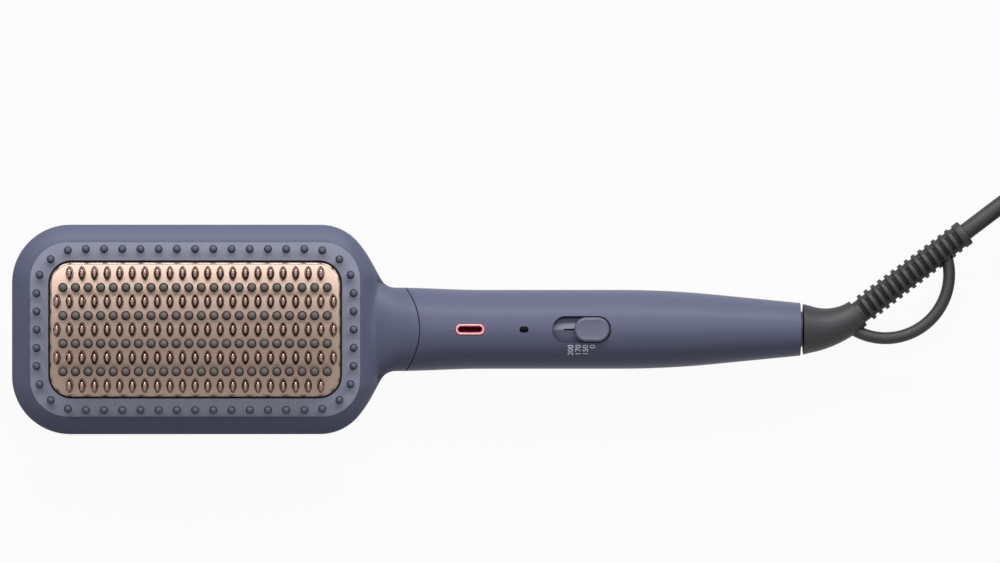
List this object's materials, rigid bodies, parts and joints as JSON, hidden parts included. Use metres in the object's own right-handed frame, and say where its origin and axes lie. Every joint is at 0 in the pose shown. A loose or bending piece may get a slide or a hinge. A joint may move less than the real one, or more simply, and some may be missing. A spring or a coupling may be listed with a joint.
{
  "type": "heated straightening brush",
  "caption": "Corded hair straightening brush: heated plate with fins and ball-tipped pins, slide switch, ion outlet and a swivel cord.",
  "frame": {"origin": "middle of the head's flat back face, on which the brush lies", "axes": "+X along the handle from the head to the cord, +Y across the head, +Z out of the pins, so the flat back face looks along -Z"},
  "size_m": [0.4906, 0.1203, 0.037],
  "materials": {
    "shell": "satin soft sheen",
    "button": "satin",
    "pin_panel": "fine grained",
    "ring_pin": "satin",
    "gold_plate": "coated, glossy",
    "cool_pin": "satin",
    "black_plastic": "plain",
    "steel": "plain",
    "heater": "wrapped",
    "mica": "sheet",
    "red_wire": "insulated",
    "blue_wire": "insulated",
    "board": "laminate",
    "outlet_inside": "dark",
    "outlet_rim": "glossy",
    "lens": "glossy",
    "lamp": "clear",
    "white_plastic": "plain",
    "brass": "bright",
    "brown_plastic": "laminate",
    "boot_rubber": "matte",
    "cord_rubber": "matte",
    "tie": "woven strap",
    "plug_plastic": "matte"
  },
  "bodies": {
    "root": {"back_shell": "shell", "head_front_shell": "shell", "handle_front_shell": "shell", "pin_frame": "pin_panel", "ring_pins": "ring_pin", "heating_plate": "gold_plate", "cool_pin_strips": "cool_pin", "inner_carrier": "black_plastic", "carrier_screws": "steel", "heater_elements": "heater", "heater_clamp": "steel", "clamp_screws": "steel", "heat_shield": "mica", "temperature_sensor": "black_plastic", "thermal_fuse": "steel", "heater_leads": "red_wire", "circuit_board": "board", "board_components": "black_plastic", "board_screws": "steel", "ion_generator": "black_plastic", "ion_emitter": "outlet_inside", "ion_outlet_bezel": "outlet_rim", "indicator_lens": "lens", "indicator_lamp": "lamp", "switch_well": "shell", "slide_switch": "steel", "detent_spring": "steel", "swivel_bush": "white_plastic", "contact_brushes": "brass", "brush_holder": "brown_plastic", "mains_leads": "blue_wire"},
    "switch": {"slide_button": "button", "switch_carriage": "white_plastic", "switch_lever": "black_plastic"},
    "swivel": {"swivel_rotor": "black_plastic", "slip_rings": "brass", "strain_relief_boot": "boot_rubber", "power_cord": "cord_rubber", "cord_coil": "cord_rubber", "cord_tail": "cord_rubber", "cord_tie": "tie", "plug_body": "plug_plastic", "plug_pins": "steel", "pin_sleeves": "black_plastic"}
  },
  "joints": [
    {"name": "heat_slide", "type": "slide", "parent": "root", "child": "switch", "axis": [-1, 0, 0], "range_m": [0, 0.0081]},
    {"name": "cord_swivel", "type": "hinge", "parent": "root", "child": "swivel", "pos_m": [0.2238, 0, 0.0148], "axis": [1, 0, 0], "continuous": true}
  ]
}
